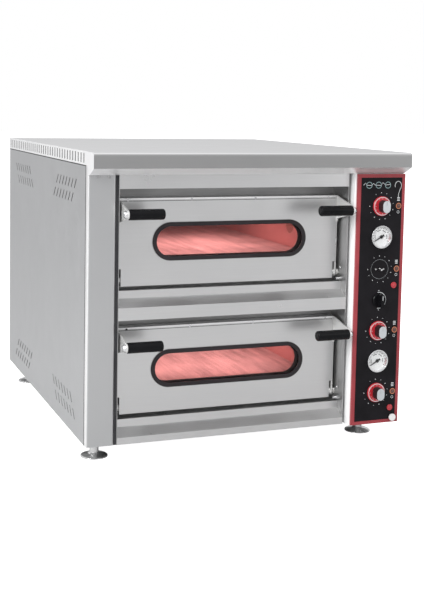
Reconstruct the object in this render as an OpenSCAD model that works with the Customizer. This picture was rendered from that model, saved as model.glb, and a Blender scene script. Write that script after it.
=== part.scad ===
// Double-deck electric pizza oven.
// Two baking chambers stand one above the other, each behind a door that drops forward on
// two pivot studs. A control column stands proud of the front on the right.
// Millimetres, +Z up, front towards -Y. The origin is on the floor, at the middle of the
// footprint. Depths inside the modules count from the front face of the left post.

/* [Overall] */
// Width over the two side panels
body_w = 898; // [760:2:1100]
// Depth from the front face of the post to the back edge of the cover
body_d = 1020; // [840:5:1240]
// Height of the underside of the casing above the floor
foot_h = 40; // [30:1:80]
// Thickness of the folded steel sheet
sheet_t = 1.5; // [1:0.1:2]

/* [Decks] */
// Height of a door
door_h = 231; // [220:1:285]
// Thickness of a door
door_t = 30; // [26:1:34]
// Depth of a door's face behind the front face of the post
door_set = 47; // [44:1:52]
// Gap between a door with its levers and the side of its bay
door_gap = 7; // [5:0.5:12]
// Height of the dark recess above each door
head_gap = 28; // [20:1:36]
// Gap below each door
foot_gap = 8; // [7.5:0.5:12]

/* [Front] */
// Width of the left post
post_w = 74; // [60:1:90]
// Width of the control column
column_w = 151; // [140:1:180]
// Width of the black trim beside each bay
trim_w = 8; // [7:1:14]
// How far the front of the control column stands forward of the post
column_reach = 19; // [12:1:24]
// Height of the upright face of the bottom sill
bottom_face_h = 18; // [16:1:40]
// Height of the upright face of the middle sill
middle_face_h = 33; // [24:1:60]
// Height of a sill's sloped face
sill_slope_h = 20; // [14:1:24]
// Height of a sill's set-back strip
sill_strip_h = 20; // [12:1:22]
// Depth that a sill slopes back
sill_back = 31; // [20:1:36]
// Height of the lintel above the upper bay
lintel_h = 60; // [50:1:80]

/* [Cover] */
// Height of the cover's side skirts
cover_h = 35; // [28:1:50]
// How far the fascia stands forward of the post
fascia_reach = 58; // [57:1:80]
// Drop of the fascia's upright face below the top
fascia_drop = 40; // [34:1:48]
// Drop of the fascia's lower edge below the top
fascia_heel_drop = 58; // [54:1:66]
// Distance of the fascia's lower edge in front of the post
fascia_heel = 20; // [6:1:30]
// Radius of the fascia's upper edge
fascia_r = 9; // [4:1:12]
// Spacing of the slots in the skirts
vent_pitch = 29; // [22:1:40]

/* [Window] */
// Width left at each side of a door's window
window_side = 94; // [70:1:120]
// Height of a window over its black gasket
window_h = 102; // [80:1:120]
// Width of the black gasket
gasket_w = 11; // [8:0.5:14]
// Thickness of a glass pane
glass_t = 4; // [3:0.5:5]

/* [Handles] */
// Diameter of a grip
grip_dia = 28; // [22:1:30]
// Length of a grip
grip_len = 96; // [72:1:110]
// Distance from a door's face forward to the grip's axis
grip_reach = 88; // [74:1:89]
// Distance of the grip's axis below the top of the door
grip_drop = 34; // [28:1:44]
// Thickness of a lever plate
lever_t = 4; // [3:0.5:5]
// Diameter of a pivot stud
pivot_dia = 10; // [8:0.5:12]
// Height of the pivot above a door's lower edge
pivot_up = 15; // [14:0.5:16]

/* [Chambers] */
// Clear width left between a door's side and the chamber wall
chamber_side = 37; // [24:1:60]
// Clear space behind each chamber
chamber_rear = 90; // [60:5:160]
// Height of a chamber's outer shell
chamber_h = 169; // [150:1:176]
// Height of a chamber above the level that its open door's inner face comes to
chamber_lift = 1; // [1:0.5:5]
// Thickness of a baking stone
stone_t = 15; // [12:1:20]
// Diameter of a heating element
element_dia = 8; // [6:0.5:9]

/* [Controls] */
// Diameter of a knob's dial
dial_dia = 54; // [44:1:58]
// How far a knob stands out of the panel
knob_reach = 29; // [20:1:29]
// Diameter of a gauge over its bezel
gauge_dia = 63; // [56:1:68]
// Diameter of a thermostat spindle
spindle_dia = 6; // [5:0.5:8]
// Radial running clearance of every turning or sliding fit
running_gap = 0.05; // [0.02:0.01:0.08]

/* [Hidden] */

$fn = 48;
cut = 1;                                  // how far a cutter runs past what it cuts
seam = 0.2;                               // gap where two sheets or slabs meet

// Across the front
body_x = body_w / 2;
post_x1 = -body_x + post_w;
column_x0 = body_x - column_w;
bay_x0 = post_x1 + trim_w + sheet_t;
bay_x1 = column_x0 - trim_w - sheet_t;
bay_w = bay_x1 - bay_x0;
bay_mid = (bay_x0 + bay_x1) / 2;
door_w = bay_w - 2 * (door_gap + lever_t);

// Front to back
face_y = (fascia_reach - body_d) / 2;     // the post's front face in the part's own frame
fold_y = 18;                              // depth to which the post and the column fold back
side_y0 = fold_y + 1.2;                   // front edge of the side panels
side_y1 = body_d - 2;                     // back edge of the side panels
rear_y = body_d - 16;                     // inner face of the rear panel
door_back = door_set + door_t;
pivot_y = door_set + door_t / 2;
bulkhead_y = door_back + 9;
chamber_up = pivot_up + door_t / 2 + chamber_lift;
chamber_y0 = door_back + 0.4;
chamber_y1 = rear_y - chamber_rear;

// Upwards
lower_door_z = foot_h + bottom_face_h + sill_slope_h + sill_strip_h + foot_gap;
deck_pitch = door_h + head_gap + middle_face_h + sill_slope_h + sill_strip_h + foot_gap;
upper_door_z = lower_door_z + deck_pitch;
lintel_z = upper_door_z + door_h + head_gap;
body_top = lintel_z + lintel_h;
overall_h = body_top + cover_h;
column_top = overall_h - fascia_heel_drop - 0.5;

// Chamber
chamber_w = door_w - 2 * chamber_side;
stone_z = sheet_t + element_dia + 6;      // underside of the stones above the chamber's base
stone_y0 = chamber_y0 + 6;
element_top_z = chamber_h - sheet_t - element_dia / 2 - 8;

// Control panel
panel_x0 = column_x0 + 5;
panel_x1 = body_x + 1;
panel_z0 = foot_h + 1;
panel_z1 = column_top - 1;
tray_d = 7;                               // depth of the red tray
tray_y = -column_reach - tray_d;
overlay_y = tray_y - 1;                   // front face of the black overlay
border_w = 10;                            // width of the red border
control_x = (column_x0 + body_x) / 2 + 3.5;
side_light_x = control_x + 52.5;
deck_rise = deck_pitch + 7;               // rise from the lower controls to the upper controls
base_knob_z = foot_h + 90;
gauge_z = foot_h + 180;
top_knob_z = foot_h + 265;
red_lamp_z = foot_h + 44;
button_z = foot_h + 16;
main_switch_z = foot_h + 350;
button_x = side_light_x;
spindle_back = 14;                        // how far a spindle reaches behind the post's face

steel = "#b9bbbd";
dark = "#26272a";
red = "#a61e22";

module at_face() { translate([0, face_y, 0]) children(); }

// A cylinder along +Y from y0 to y1
module rod_y(x, z, r, y0, y1) {
    translate([x, y0, z]) rotate([-90, 0, 0]) cylinder(r = r, h = y1 - y0);
}

// A cylinder along +X from x0 to x1
module rod_x(y, z, r, x0, x1) {
    translate([x0, y, z]) rotate([0, 90, 0]) cylinder(r = r, h = x1 - x0);
}

// A box given by its two corners
module block(low, high) { translate(low) cube(high - low); }

// Turns a profile drawn as (depth, height) into a bar along X from x0 to x1
module bar_x(x0, x1) {
    translate([x0, 0, 0]) rotate([90, 0, 90]) linear_extrude(x1 - x0) children();
}

// A stadium, w by h, centred
module stadium(w, h) {
    translate([-(w - h) / 2, 0]) circle(d = h);
    translate([(w - h) / 2, 0]) circle(d = h);
    square([w - h, h], center = true);
}

// A stadium plate standing across Y at the middle of a bay
module stadium_y(w, h, z, y0, y1) {
    translate([bay_mid, y1, z]) rotate([90, 0, 0]) linear_extrude(y1 - y0) stadium(w, h);
}

// ---------------------------------------------------------------- casing

// Slanted slots of one side panel: four groups of two rows that lean towards the corners
module side_louvres(x0, x1) {
    rows = 7;
    pitch = 33.5;
    slot_h = 25;
    slot_w = 5;
    lean = 40;
    step = 38;                            // drop from the outer row to the inner row
    edge = 42;                            // from the panel's edge to the outer row
    mid_z = (foot_h + body_top) / 2;
    mid_y = (side_y0 + rear_y) / 2;
    reach_z = mid_z - foot_h - edge - slot_h / 2;
    reach_y = mid_y - 128;
    for (end = [-1, 1], level = [-1, 1], row = [0, 1], i = [0:rows - 1])
        translate([x0, mid_y + end * (reach_y - row * step * tan(lean) - i * pitch),
                   mid_z + level * (reach_z - row * step)])
            rotate([-end * level * lean, 0, 0])
                translate([0, -slot_w / 2, -slot_h / cos(lean) / 2])
                    cube([x1 - x0, slot_w, slot_h / cos(lean)]);
}

module side_panel(side) {
    outer = side * body_x;
    inner = side * (body_x - sheet_t);
    x0 = min(outer, inner);
    x1 = max(outer, inner);
    color(steel) at_face() difference() {
        union() {
            block([x0, side_y0, foot_h], [x1, side_y1, body_top]);
            if (side > 0)
                block([x0, seam, column_top + seam], [x1, side_y0 + 1, body_top]);   // over the column
        }
        side_louvres(x0 - cut, x1 + cut);
    }
}

module left_side_panel() { side_panel(-1); }

module right_side_panel() { side_panel(1); }

// Folded tray under the chambers, with a flat plate under the post and one under the column
module base_pan() {
    inner = body_x - sheet_t;
    rim = 22;
    front = bulkhead_y + sheet_t;
    color(steel) at_face() difference() {
        union() {
            block([-inner, front, foot_h], [inner, rear_y, foot_h + rim]);
            block([-inner, 7, foot_h], [post_x1 - sheet_t, front - seam, foot_h + sheet_t]);
            block([column_x0 + sheet_t, 4 - column_reach, foot_h],
                  [inner, front - seam, foot_h + sheet_t]);
        }
        block([-inner + sheet_t, front + sheet_t, foot_h + sheet_t],
              [inner - sheet_t, rear_y - sheet_t, foot_h + rim + cut]);
        foot_places() translate([0, 0, foot_h - cut]) cylinder(r = stem_r + 0.3, h = sheet_t + 2 * cut);
    }
}

module rear_panel() {
    inner = body_x - sheet_t;
    color(steel) at_face() difference() {
        block([-inner, rear_y, foot_h], [inner, rear_y + sheet_t, body_top]);
        rod_y(gland_x, gland_z, gland_r + 0.3, rear_y - cut, rear_y + sheet_t + cut);
        for (i = [-9:9], z = [body_top - 90, body_top - 50])
            block([bay_mid + i * 26 - 4, rear_y - cut, z],
                  [bay_mid + i * 26 + 4, rear_y + sheet_t + cut, z + 26]);
        for (i = [-3:3])
            block([control_x + i * 15 - 3, rear_y - cut, body_top - 160],
                  [control_x + i * 15 + 3, rear_y + sheet_t + cut, body_top - 110]);
    }
}

// Side view of the cover, drawn in by a given amount
module cover_side(inset) {
    r = fascia_r - inset;
    front = -fascia_reach + inset;
    top = overall_h - inset;
    upright = overall_h - fascia_drop + inset * 0.6;
    heel_z = overall_h - fascia_heel_drop + inset;
    translate([front + r, top - r]) circle(r = r);
    polygon([[front, top - r], [front, upright], [-fascia_heel + inset * 0.4, heel_z],
             [-inset, heel_z], [-inset, body_top], [body_d - inset, body_top],
             [body_d - inset, top], [front + r, top]]);
}

module top_cover() {
    half = body_x + 1;
    vents = floor((body_d - 60) / vent_pitch);
    color(steel) at_face() difference() {
        bar_x(-half, half) cover_side(0);
        bar_x(-half + sheet_t, half - sheet_t) {
            cover_side(sheet_t);
            translate([0, body_top - cut]) square([body_d - sheet_t, 2 * cut]);
        }
        for (i = [0:vents])
            block([-half - cut, 34 + i * vent_pitch, body_top + 5],
                  [half + cut, 42 + i * vent_pitch, overall_h - 5]);
    }
}

// Plan of a folded front: a front plate with rounded corners and two returns
module fold_plan(w, d, r) {
    intersection() {
        difference() {
            rounded_front(w, d, r);
            translate([sheet_t, sheet_t]) rounded_front(w - 2 * sheet_t, d, r - sheet_t);
        }
        square([w, d]);
    }
}

// A rectangle whose two front corners are rounded
module rounded_front(w, d, r) {
    translate([r, r]) circle(r = r);
    translate([w - r, r]) circle(r = r);
    translate([r, 0]) square([w - 2 * r, d]);
    translate([0, r]) square([w, d - r]);
}

module left_post() {
    color(steel) at_face() translate([-body_x, 0, foot_h])
        linear_extrude(body_top - foot_h) fold_plan(post_w, fold_y, 6);
}

module control_column() {
    color(steel) at_face() difference() {
        translate([column_x0, -column_reach, foot_h])
            linear_extrude(column_top - foot_h)
                fold_plan(column_w, fold_y + column_reach, 3);
        control_holes();
    }
}

// Holes that the column, the tray and the overlay share
module control_holes() {
    y0 = overlay_y - cut;
    y1 = -column_reach + sheet_t + cut;
    for (deck = [0, 1]) {
        rise = deck * deck_rise;
        for (z = [base_knob_z, top_knob_z]) {
            rod_y(control_x, z + rise, spindle_dia / 2 + 1, y0, y1);
            rod_y(side_light_x, z + rise, pilot_r, y0, y1);
        }
        rod_y(control_x, gauge_z + rise, gauge_stem_r, y0, y1);
        rod_y(side_light_x - 7, red_lamp_z + rise, red_lamp_r, y0, y1);
    }
    rod_y(control_x, main_switch_z, spindle_dia / 2 + 1, y0, y1);
    rod_y(button_x, button_z, button_stem_r + running_gap, y0, y1);
}

// Red-edged tray over the front of the column
module panel_tray() {
    low = [panel_x0, tray_y, panel_z0];
    high = [panel_x1, -column_reach, panel_z1];
    wall = [sheet_t, sheet_t, sheet_t];
    color(red) at_face() difference() {
        block(low, high);
        block(low + wall, [high[0] - sheet_t, high[1] + cut, high[2] - sheet_t]);
        control_holes();
    }
}

module panel_overlay() {
    color(dark) at_face() difference() {
        block([panel_x0 + border_w, overlay_y, panel_z0 + border_w],
              [panel_x1 - border_w, tray_y, panel_z1 - border_w]);
        control_holes();
    }
}

// ---------------------------------------------------------------- front of the bays

module lintel() {
    top = body_top;
    color(steel) at_face() bar_x(bay_x0, bay_x1) difference() {
        translate([0, lintel_z]) square([bulkhead_y, top - lintel_z]);
        translate([sheet_t, lintel_z + sheet_t]) square([bulkhead_y, top - lintel_z - 2 * sheet_t]);
    }
}

// Side view of a sill: an upright face, a slope and a set-back strip, open at the back
module sill_side(z0, top, inset) {
    slope_z = top - sill_strip_h - sill_slope_h;
    polygon([[inset, z0 + inset], [inset, slope_z - inset * 0.6],
             [sill_back + inset, top - sill_strip_h - inset * 0.6],
             [sill_back + inset, top - inset],
             [bulkhead_y + inset, top - inset], [bulkhead_y + inset, z0 + inset]]);
}

module sill(z0, top) {
    color(steel) at_face() bar_x(bay_x0, bay_x1) intersection() {
        difference() {
            sill_side(z0, top, 0);
            sill_side(z0, top, sheet_t);
        }
        translate([0, z0]) square([bulkhead_y, top - z0]);
    }
}

module middle_sill() { sill(lower_door_z + door_h + head_gap, upper_door_z - foot_gap); }

module bottom_sill() { sill(foot_h, lower_door_z - foot_gap); }

// Dark strips that close the gaps beside the bays; the right one lies deeper
module gap_trims() {
    depth = 9;
    color(dark) at_face() {
        block([post_x1, 3, foot_h], [post_x1 + trim_w, 3 + depth, body_top]);
        block([bay_x1 + sheet_t, fold_y + 1, foot_h],
              [bay_x1 + sheet_t + trim_w, fold_y + 1 + depth, body_top]);
    }
}

module jamb_plates() {
    color(steel) at_face() for (side = [0, 1]) {
        x = side == 0 ? bay_x0 - sheet_t : bay_x1;
        difference() {
            block([x, 0, foot_h], [x + sheet_t, bulkhead_y, body_top]);
            for (z = [lower_door_z, upper_door_z])
                rod_x(pivot_y, z + pivot_up, pivot_dia / 2 + 3.1, x - cut, x + sheet_t + cut);
        }
    }
}

// Plates round the mouths of the chambers, and the wall beside the wiring bay
module front_bulkhead() {
    x0 = bay_x0 - sheet_t;
    x1 = bay_x1 + sheet_t;
    y1 = bulkhead_y + sheet_t;
    mouth_x0 = bay_mid - chamber_w / 2;
    mouth_x1 = bay_mid + chamber_w / 2;
    low = lower_door_z + chamber_up;
    high = upper_door_z + chamber_up;
    color(steel) at_face() {
        block([x0, bulkhead_y, foot_h], [x1, y1, low]);
        block([x0, bulkhead_y, low + chamber_h], [x1, y1, high]);
        block([x0, bulkhead_y, high + chamber_h], [x1, y1, body_top]);
        for (z = [low, high]) {
            block([x0, bulkhead_y, z + seam], [mouth_x0, y1, z + chamber_h - seam]);
            block([mouth_x1, bulkhead_y, z + seam], [x1, y1, z + chamber_h - seam]);
        }
        block([bay_x1, y1 + seam, foot_h + 22 + seam], [x1, rear_y - sheet_t - seam, body_top]);
    }
}

// Flanged bushes that carry the pivot studs in the jambs
module hinge_bushes() {
    r = pivot_dia / 2;
    color("#a8894e") at_face() for (z = [lower_door_z, upper_door_z], side = [0, 1]) {
        x = side == 0 ? bay_x0 : bay_x1;
        out = side == 0 ? -1 : 1;
        difference() {
            union() {
                rod_x(pivot_y, z + pivot_up, r + 5, min(x, x - out * 3), max(x, x - out * 3));
                rod_x(pivot_y, z + pivot_up, r + 3, min(x, x + out * 7), max(x, x + out * 7));
            }
            rod_x(pivot_y, z + pivot_up, r + running_gap, x - 9, x + 9);
        }
    }
}

// Pins under the open levers
module door_stops() {
    r = 3.5;
    reach = door_gap + lever_t - 0.5;
    color(steel) at_face() for (z = [lower_door_z, upper_door_z], side = [0, 1]) {
        x0 = side == 0 ? bay_x0 : bay_x1 - reach;
        rod_x(pivot_y - 22, z + pivot_up - lever_end_r - r - 0.3, r, x0, x0 + reach);
    }
}

// ---------------------------------------------------------------- chambers

// Sheet-metal box open above its front lip, with a ledge along each side for the stones
module chamber(door_z) {
    t = sheet_t;
    x0 = bay_mid - chamber_w / 2;
    x1 = bay_mid + chamber_w / 2;
    y0 = chamber_y0;
    y1 = chamber_y1;
    z0 = door_z + chamber_up;
    z1 = z0 + chamber_h;
    in_x0 = x0 + t + seam;
    in_x1 = x1 - t - seam;
    in_z0 = z0 + t + seam;
    in_z1 = z1 - t - seam;
    stone_base = z0 + stone_z;
    ledge_w = 8;
    ledge_h = 2;
    color("#8d8f91") at_face() {
        block([x0, y0, z0], [x1, y1, z0 + t]);
        block([x0, y0, z1 - t], [x1, y1, z1]);
        block([x0, y0, in_z0], [x0 + t, y1, in_z1]);
        difference() {
            block([x1 - t, y0, in_z0], [x1, y1, in_z1]);
            rod_x(lamp_y, z0 + lamp_up, lamp_r + 0.3, x1 - t - cut, x1 + cut);
        }
        difference() {
            block([in_x0, y1 - t, in_z0], [in_x1, y1, in_z1]);
            for (level = [element_low_z, element_top_z], side = [-1, 1])
                rod_y(bay_mid + side * element_spread * 2.5, z0 + level, element_dia / 2 + 0.5,
                      y1 - t - cut, y1 + cut);
        }
        block([in_x0, y0, in_z0], [in_x1, y0 + t, stone_base + stone_t]);
        for (x = [in_x0, in_x1 - ledge_w])
            block([x, stone_y0, stone_base - ledge_h], [x + ledge_w, y1 - t - seam, stone_base]);
    }
}

module upper_chamber() { chamber(upper_door_z); }

module lower_chamber() { chamber(lower_door_z); }

element_low_z = sheet_t + 2 + element_dia / 2;
element_spread = (chamber_w - 80) / 5;
element_inset = 60;                        // least straight room kept at the chamber's front and back
element_clear = 12;                        // least room between a bend and the chamber's wall
element_tail = 25;                         // how far the ends stand out behind the chamber

// Two baking stones laid front to back
module stones(door_z) {
    z0 = door_z + chamber_up + stone_z;
    x0 = bay_mid - chamber_w / 2 + sheet_t + 2;
    x1 = bay_mid + chamber_w / 2 - sheet_t - 2;
    y1 = chamber_y1 - sheet_t - 4;
    mid = (stone_y0 + y1) / 2;
    color("#c9a58c") at_face() {
        block([x0, stone_y0, z0], [x1, mid - 0.5, z0 + stone_t]);
        block([x0, mid + 0.5, z0], [x1, y1, z0 + stone_t]);
    }
}

module baking_stones() {
    stones(lower_door_z);
    stones(upper_door_z);
}

// One element: six runs joined by hairpin bends, with both ends through the back wall
module element(z) {
    r = element_dia / 2;
    s = element_spread;
    inset = max(element_inset, s / 2 + element_clear);
    front = chamber_y0 + inset;
    back = chamber_y1 - inset;
    for (i = [0:5]) {
        x = bay_mid + (i - 2.5) * s;
        ends = i == 0 || i == 5;
        rod_y(x, z, r, front, ends ? chamber_y1 + element_tail : back);
    }
    for (i = [0:4]) {
        bend = i % 2 == 0;
        translate([bay_mid + (i - 2) * s, bend ? front : back, z])
            rotate([0, 0, bend ? 180 : 0]) rotate_extrude(angle = 180) translate([s / 2, 0]) circle(r = r);
    }
}

module heating_elements() {
    color("#5a5552") at_face()
        for (door_z = [lower_door_z, upper_door_z], level = [element_low_z, element_top_z])
            element(door_z + chamber_up + level);
}

// Slabs under, between and over the chambers, and beside each of them
module insulation_slabs() {
    x0 = -body_x + sheet_t + 3;
    x1 = bay_x1;
    mouth_x0 = bay_mid - chamber_w / 2;
    mouth_x1 = bay_mid + chamber_w / 2;
    y0 = bulkhead_y + 2 * sheet_t + seam;
    y1 = chamber_y1;
    low = lower_door_z + chamber_up;
    high = upper_door_z + chamber_up;
    color("#d8cfa8") at_face() {
        difference() {
            block([x0, y0, foot_h + sheet_t], [x1 - 1, y1, low]);
            foot_places() translate([0, 0, foot_h]) cylinder(r = 12, h = 14);
        }
        block([x0, y0, low + chamber_h], [x1, y1, high]);
        block([x0, y0, high + chamber_h], [x1, y1, body_top - 1]);
        for (z = [low, high]) {
            block([x0, y0, z + seam], [mouth_x0, y1, z + chamber_h - seam]);
            difference() {
                block([mouth_x1, y0, z + seam], [x1, y1, z + chamber_h - seam]);
                rod_x(lamp_y, z + lamp_up, lamp_r + 0.3, mouth_x1 - cut, x1 + cut);
            }
        }
    }
}

lamp_y = bulkhead_y + 180;
lamp_up = 95;
lamp_r = 28;

// A lamp cup let into the right wall of each chamber, with its glass
module chamber_lamps() {
    wall = bay_mid + chamber_w / 2;
    color("#e8e4d8") at_face() for (z = [lower_door_z, upper_door_z]) {
        difference() {
            rod_x(lamp_y, z + chamber_up + lamp_up, lamp_r, wall - sheet_t, bay_x1);
            rod_x(lamp_y, z + chamber_up + lamp_up, lamp_r - 3, wall - sheet_t - cut, bay_x1 - 4);
        }
    }
}

// ---------------------------------------------------------------- electrics

gland_r = 10;
gland_x = control_x;
gland_z = foot_h + 60;
lamp_body_d = 18;
pilot_r = 6;
red_lamp_r = 6;
gauge_stem_r = 10;
button_stem_r = 6;

module thermostat_bodies() {
    y0 = -column_reach + sheet_t;
    color("#dddcd6") at_face()
        for (deck = [0, 1], z = [base_knob_z, top_knob_z]) difference() {
            translate([control_x - 22, y0, z + deck * deck_rise - 22]) cube([44, 38, 44]);
            rod_y(control_x, z + deck * deck_rise, spindle_dia / 2 + running_gap, y0 - cut,
                  spindle_back + 1);
        }
}

module switch_bodies() {
    y0 = -column_reach + sheet_t;
    color("#33353a") at_face() {
        difference() {
            block([control_x - 20, y0, main_switch_z - 20], [control_x + 20, y0 + 45, main_switch_z + 20]);
            rod_y(control_x, main_switch_z, spindle_dia / 2 + running_gap, y0 - cut, spindle_back + 1);
        }
        difference() {
            block([button_x - 9, y0, button_z - 9], [button_x + 9, y0 + 30, button_z + 9]);
            rod_y(button_x, button_z, button_stem_r + running_gap, y0 - cut, y0 + 20);
        }
    }
}

module terminal_block() {
    ways = 5;
    pitch = 14;
    color("#3c4044") at_face() difference() {
        block([gland_x - ways * pitch / 2, rear_y - 28, gland_z + 30],
              [gland_x + ways * pitch / 2, rear_y, gland_z + 56]);
        for (i = [0:ways - 1])
            rod_y(gland_x + (i - (ways - 1) / 2) * pitch, gland_z + 43, 3.5, rear_y - 28 - cut, rear_y - 14);
    }
}

module cable_gland() {
    color(dark) at_face() difference() {
        union() {
            rod_y(gland_x, gland_z, gland_r, rear_y - 12, rear_y + sheet_t + 13);
            translate([gland_x, rear_y + sheet_t, gland_z]) rotate([-90, 0, 0])
                cylinder(r = gland_r + 5, h = 6, $fn = 6);
            translate([gland_x, rear_y - 6, gland_z]) rotate([-90, 0, 0])
                cylinder(r = gland_r + 5, h = 6, $fn = 6);
        }
        rod_y(gland_x, gland_z, 6, rear_y - 12 - cut, rear_y + sheet_t + 13 + cut);
    }
}

module gauge_cases() {
    r = gauge_dia / 2;
    color("#c9cbcc") at_face() for (deck = [0, 1]) {
        z = gauge_z + deck * deck_rise;
        difference() {
            union() {
                rod_y(control_x, z, r, overlay_y - 8, overlay_y);
                rod_y(control_x, z, gauge_stem_r - 0.3, overlay_y, -column_reach + sheet_t + 20);
            }
            rod_y(control_x, z, r - 3, overlay_y - 8 - cut, overlay_y - 1.5);
            rod_y(control_x, z, needle_r + running_gap, overlay_y - 8 - cut, overlay_y + 8);
        }
    }
}

needle_r = 1.2;
needle_angle = 150;                       // a cold needle points to the lower left

module gauge_lenses() {
    color([0.9, 0.95, 1, 0.3]) at_face() for (deck = [0, 1])
        rod_y(control_x, gauge_z + deck * deck_rise, gauge_dia / 2 - 3.05, overlay_y - 7.5, overlay_y - 6);
}

// A needle that points down to the left, on a short staff
module needle(z) {
    color("#1a1a1a") at_face() {
        rod_y(control_x, z, needle_r, overlay_y - 3.5, overlay_y + 7);
        rod_y(control_x, z, 5, overlay_y - 4.3, overlay_y - 3.5);
        translate([control_x, overlay_y - 3.5, z]) rotate([90, needle_angle, 0]) linear_extrude(0.8)
            polygon([[-10, -2.6], [-10, 2.6], [gauge_dia / 2 - 8, 0.9], [gauge_dia / 2 - 8, -0.9]]);
    }
}

module upper_gauge_needle() { needle(gauge_z + deck_rise); }

module lower_gauge_needle() { needle(gauge_z); }

// A lamp with a domed lens in a round bezel
module panel_lamp(x, z, r) {
    rod_y(x, z, r + 2.5, overlay_y - 2, overlay_y);
    translate([x, overlay_y - 2, z]) rotate([90, 0, 0]) rotate_extrude(angle = 360)
        intersection() {
            translate([0, -r]) circle(r = r * 1.25);
            square([r, r]);
        }
    rod_y(x, z, r - 0.3, overlay_y, -column_reach + sheet_t + lamp_body_d);
}

module pilot_lamps() {
    color("#d98a3c") at_face() for (deck = [0, 1], z = [base_knob_z, top_knob_z])
        panel_lamp(side_light_x, z + deck * deck_rise, pilot_r);
}

module red_lamps() {
    color("#9c1f24") at_face() for (deck = [0, 1])
        panel_lamp(side_light_x - 7, red_lamp_z + deck * deck_rise, red_lamp_r);
}

// ---------------------------------------------------------------- knobs

// A thin round dial on its spindle
module dial(z, r) {
    edge = 1.5;
    translate([control_x, overlay_y - 0.5, z]) rotate([90, 0, 0]) rotate_extrude(angle = 360)
        polygon([[0, 0], [r, 0], [r, dial_t - edge], [r - edge, dial_t], [0, dial_t]]);
    rod_y(control_x, z, spindle_dia / 2, overlay_y - 0.5, spindle_back);
}

// The upright finger grip fixed on the front of a dial
module pointer(z) {
    back = overlay_y - 0.5 - dial_t;
    translate([control_x, back, z]) rotate([90, 0, 0])
        linear_extrude(back - overlay_y + knob_reach) rotate(90) stadium(34, 24);
}

dial_t = 5;

module upper_top_dial() { color(red) at_face() dial(top_knob_z + deck_rise, dial_dia / 2); }

module lower_top_dial() { color(red) at_face() dial(top_knob_z, dial_dia / 2); }

module lower_base_dial() { color(red) at_face() dial(base_knob_z, dial_dia / 2); }

module upper_top_handle() { color("#c4c6c8") at_face() pointer(top_knob_z + deck_rise); }

module lower_top_handle() { color("#c4c6c8") at_face() pointer(top_knob_z); }

module lower_base_handle() { color("#c4c6c8") at_face() pointer(base_knob_z); }

// A dark knob with a bar across its front
module main_switch_knob() {
    half_bar = 5;
    back = overlay_y - 0.5 - dial_t;
    color(dark) at_face() {
        dial(main_switch_z, 20);
        translate([control_x, back, main_switch_z]) rotate([90, 0, 0])
            linear_extrude(back - overlay_y + knob_reach - 5) intersection() {
                circle(r = 18);
                square([2 * half_bar, 40], center = true);
            }
    }
}

// The one spindle that stands bare, with a flat for its knob
module upper_base_spindle() {
    z = base_knob_z + deck_rise;
    r = spindle_dia / 2;
    color("silver") at_face() difference() {
        rod_y(control_x, z, r, overlay_y - 12, spindle_back);
        block([control_x - r, overlay_y - 12 - cut, z + r * 0.5], [control_x + r, overlay_y - 1, z + r + cut]);
    }
}

module light_button() {
    color("#e9e7e2") at_face() {
        rod_y(button_x, button_z, 10, overlay_y - 7.5, overlay_y - 3.5);
        rod_y(button_x, button_z, button_stem_r, overlay_y - 3.5, -column_reach + sheet_t + 12);
    }
}

// ---------------------------------------------------------------- feet and screws

// The four foot positions; the right-hand pair stands in from the control column's edge
module foot_places() {
    left_in = 37;
    right_in = 81;
    front_in = 54;
    rear_in = 136;
    for (x = [-body_x + left_in, body_x - right_in], y = [front_in, rear_y - rear_in])
        translate([x, y, 0]) children();
}

stem_r = 5;                               // radius of a foot's threaded stem

module levelling_feet() {
    color("silver") at_face() foot_places() {
        rotate_extrude(angle = 360)
            polygon([[0, 0], [36, 0], [36, 2.5], [34, 4], [16, 8], [12, 12], [12, foot_h - 9],
                     [17, foot_h - 7], [17, foot_h], [stem_r, foot_h], [stem_r, foot_h + 12],
                     [0, foot_h + 12]]);
        translate([0, 0, foot_h + sheet_t]) difference() {
            cylinder(r = 9, h = 8, $fn = 6);
            translate([0, 0, -cut]) cylinder(r = stem_r + 0.02, h = 8 + 2 * cut);
        }
    }
}

module screw_y(x, z, y, out, r = 4) {
    translate([x, y, z]) rotate([90 * -out, 0, 0]) rotate_extrude(angle = 360)
        polygon([[0, 0], [r, 0], [r, 1], [r * 0.7, 2.2], [0, 2.4]]);
}

// The same screw with its axis along X, its head towards +X or -X
module screw_x(y, z, x, out) {
    translate([x, y, z]) rotate([0, 0, -90]) screw_y(0, 0, 0, out);
}

module casing_screws() {
    inner = body_x - sheet_t;
    rear = rear_y + sheet_t;
    color("silver") at_face() {
        for (z = [lower_door_z, upper_door_z]) {
            screw_x(36, z + 30, bay_x0, 1);
            screw_x(36, z + 30, bay_x1, -1);
        }
        for (side = [-12, 12]) screw_y(control_x + side, base_knob_z + deck_rise, overlay_y, -1, 2.6);
        for (x = [28, 55]) screw_y(-body_x + x, column_top - 5, 0, -1);
        for (x = [-inner + 14, 0, inner - 14], z = [foot_h + 12, body_top - 14]) screw_y(x, z, rear, 1);
        for (x = [-inner + 14, inner - 14]) screw_y(x, (foot_h + body_top) / 2, rear, 1);
    }
}

// ---------------------------------------------------------------- doors

lever_end_r = 12;                         // radius of a lever's lower end
notch_w = 8;                              // width of the notch at a door's lower corners
notch_h = 46;                             // height of that notch

// A door seen from the front, with a notch at each lower corner, drawn in by a given amount
module door_outline(inset) {
    difference() {
        translate([inset - door_w / 2, inset]) square([door_w - 2 * inset, door_h - 2 * inset]);
        for (side = [-1, 1])
            translate([side * door_w / 2, 0])
                square([2 * (notch_w + inset), 2 * (notch_h + inset)], center = true);
    }
}

// The door's outline as a solid between two depths
module door_slab(z, inset, y0, y1) {
    translate([bay_mid, y1, z]) rotate([90, 0, 0]) linear_extrude(y1 - y0) door_outline(inset);
}

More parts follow.
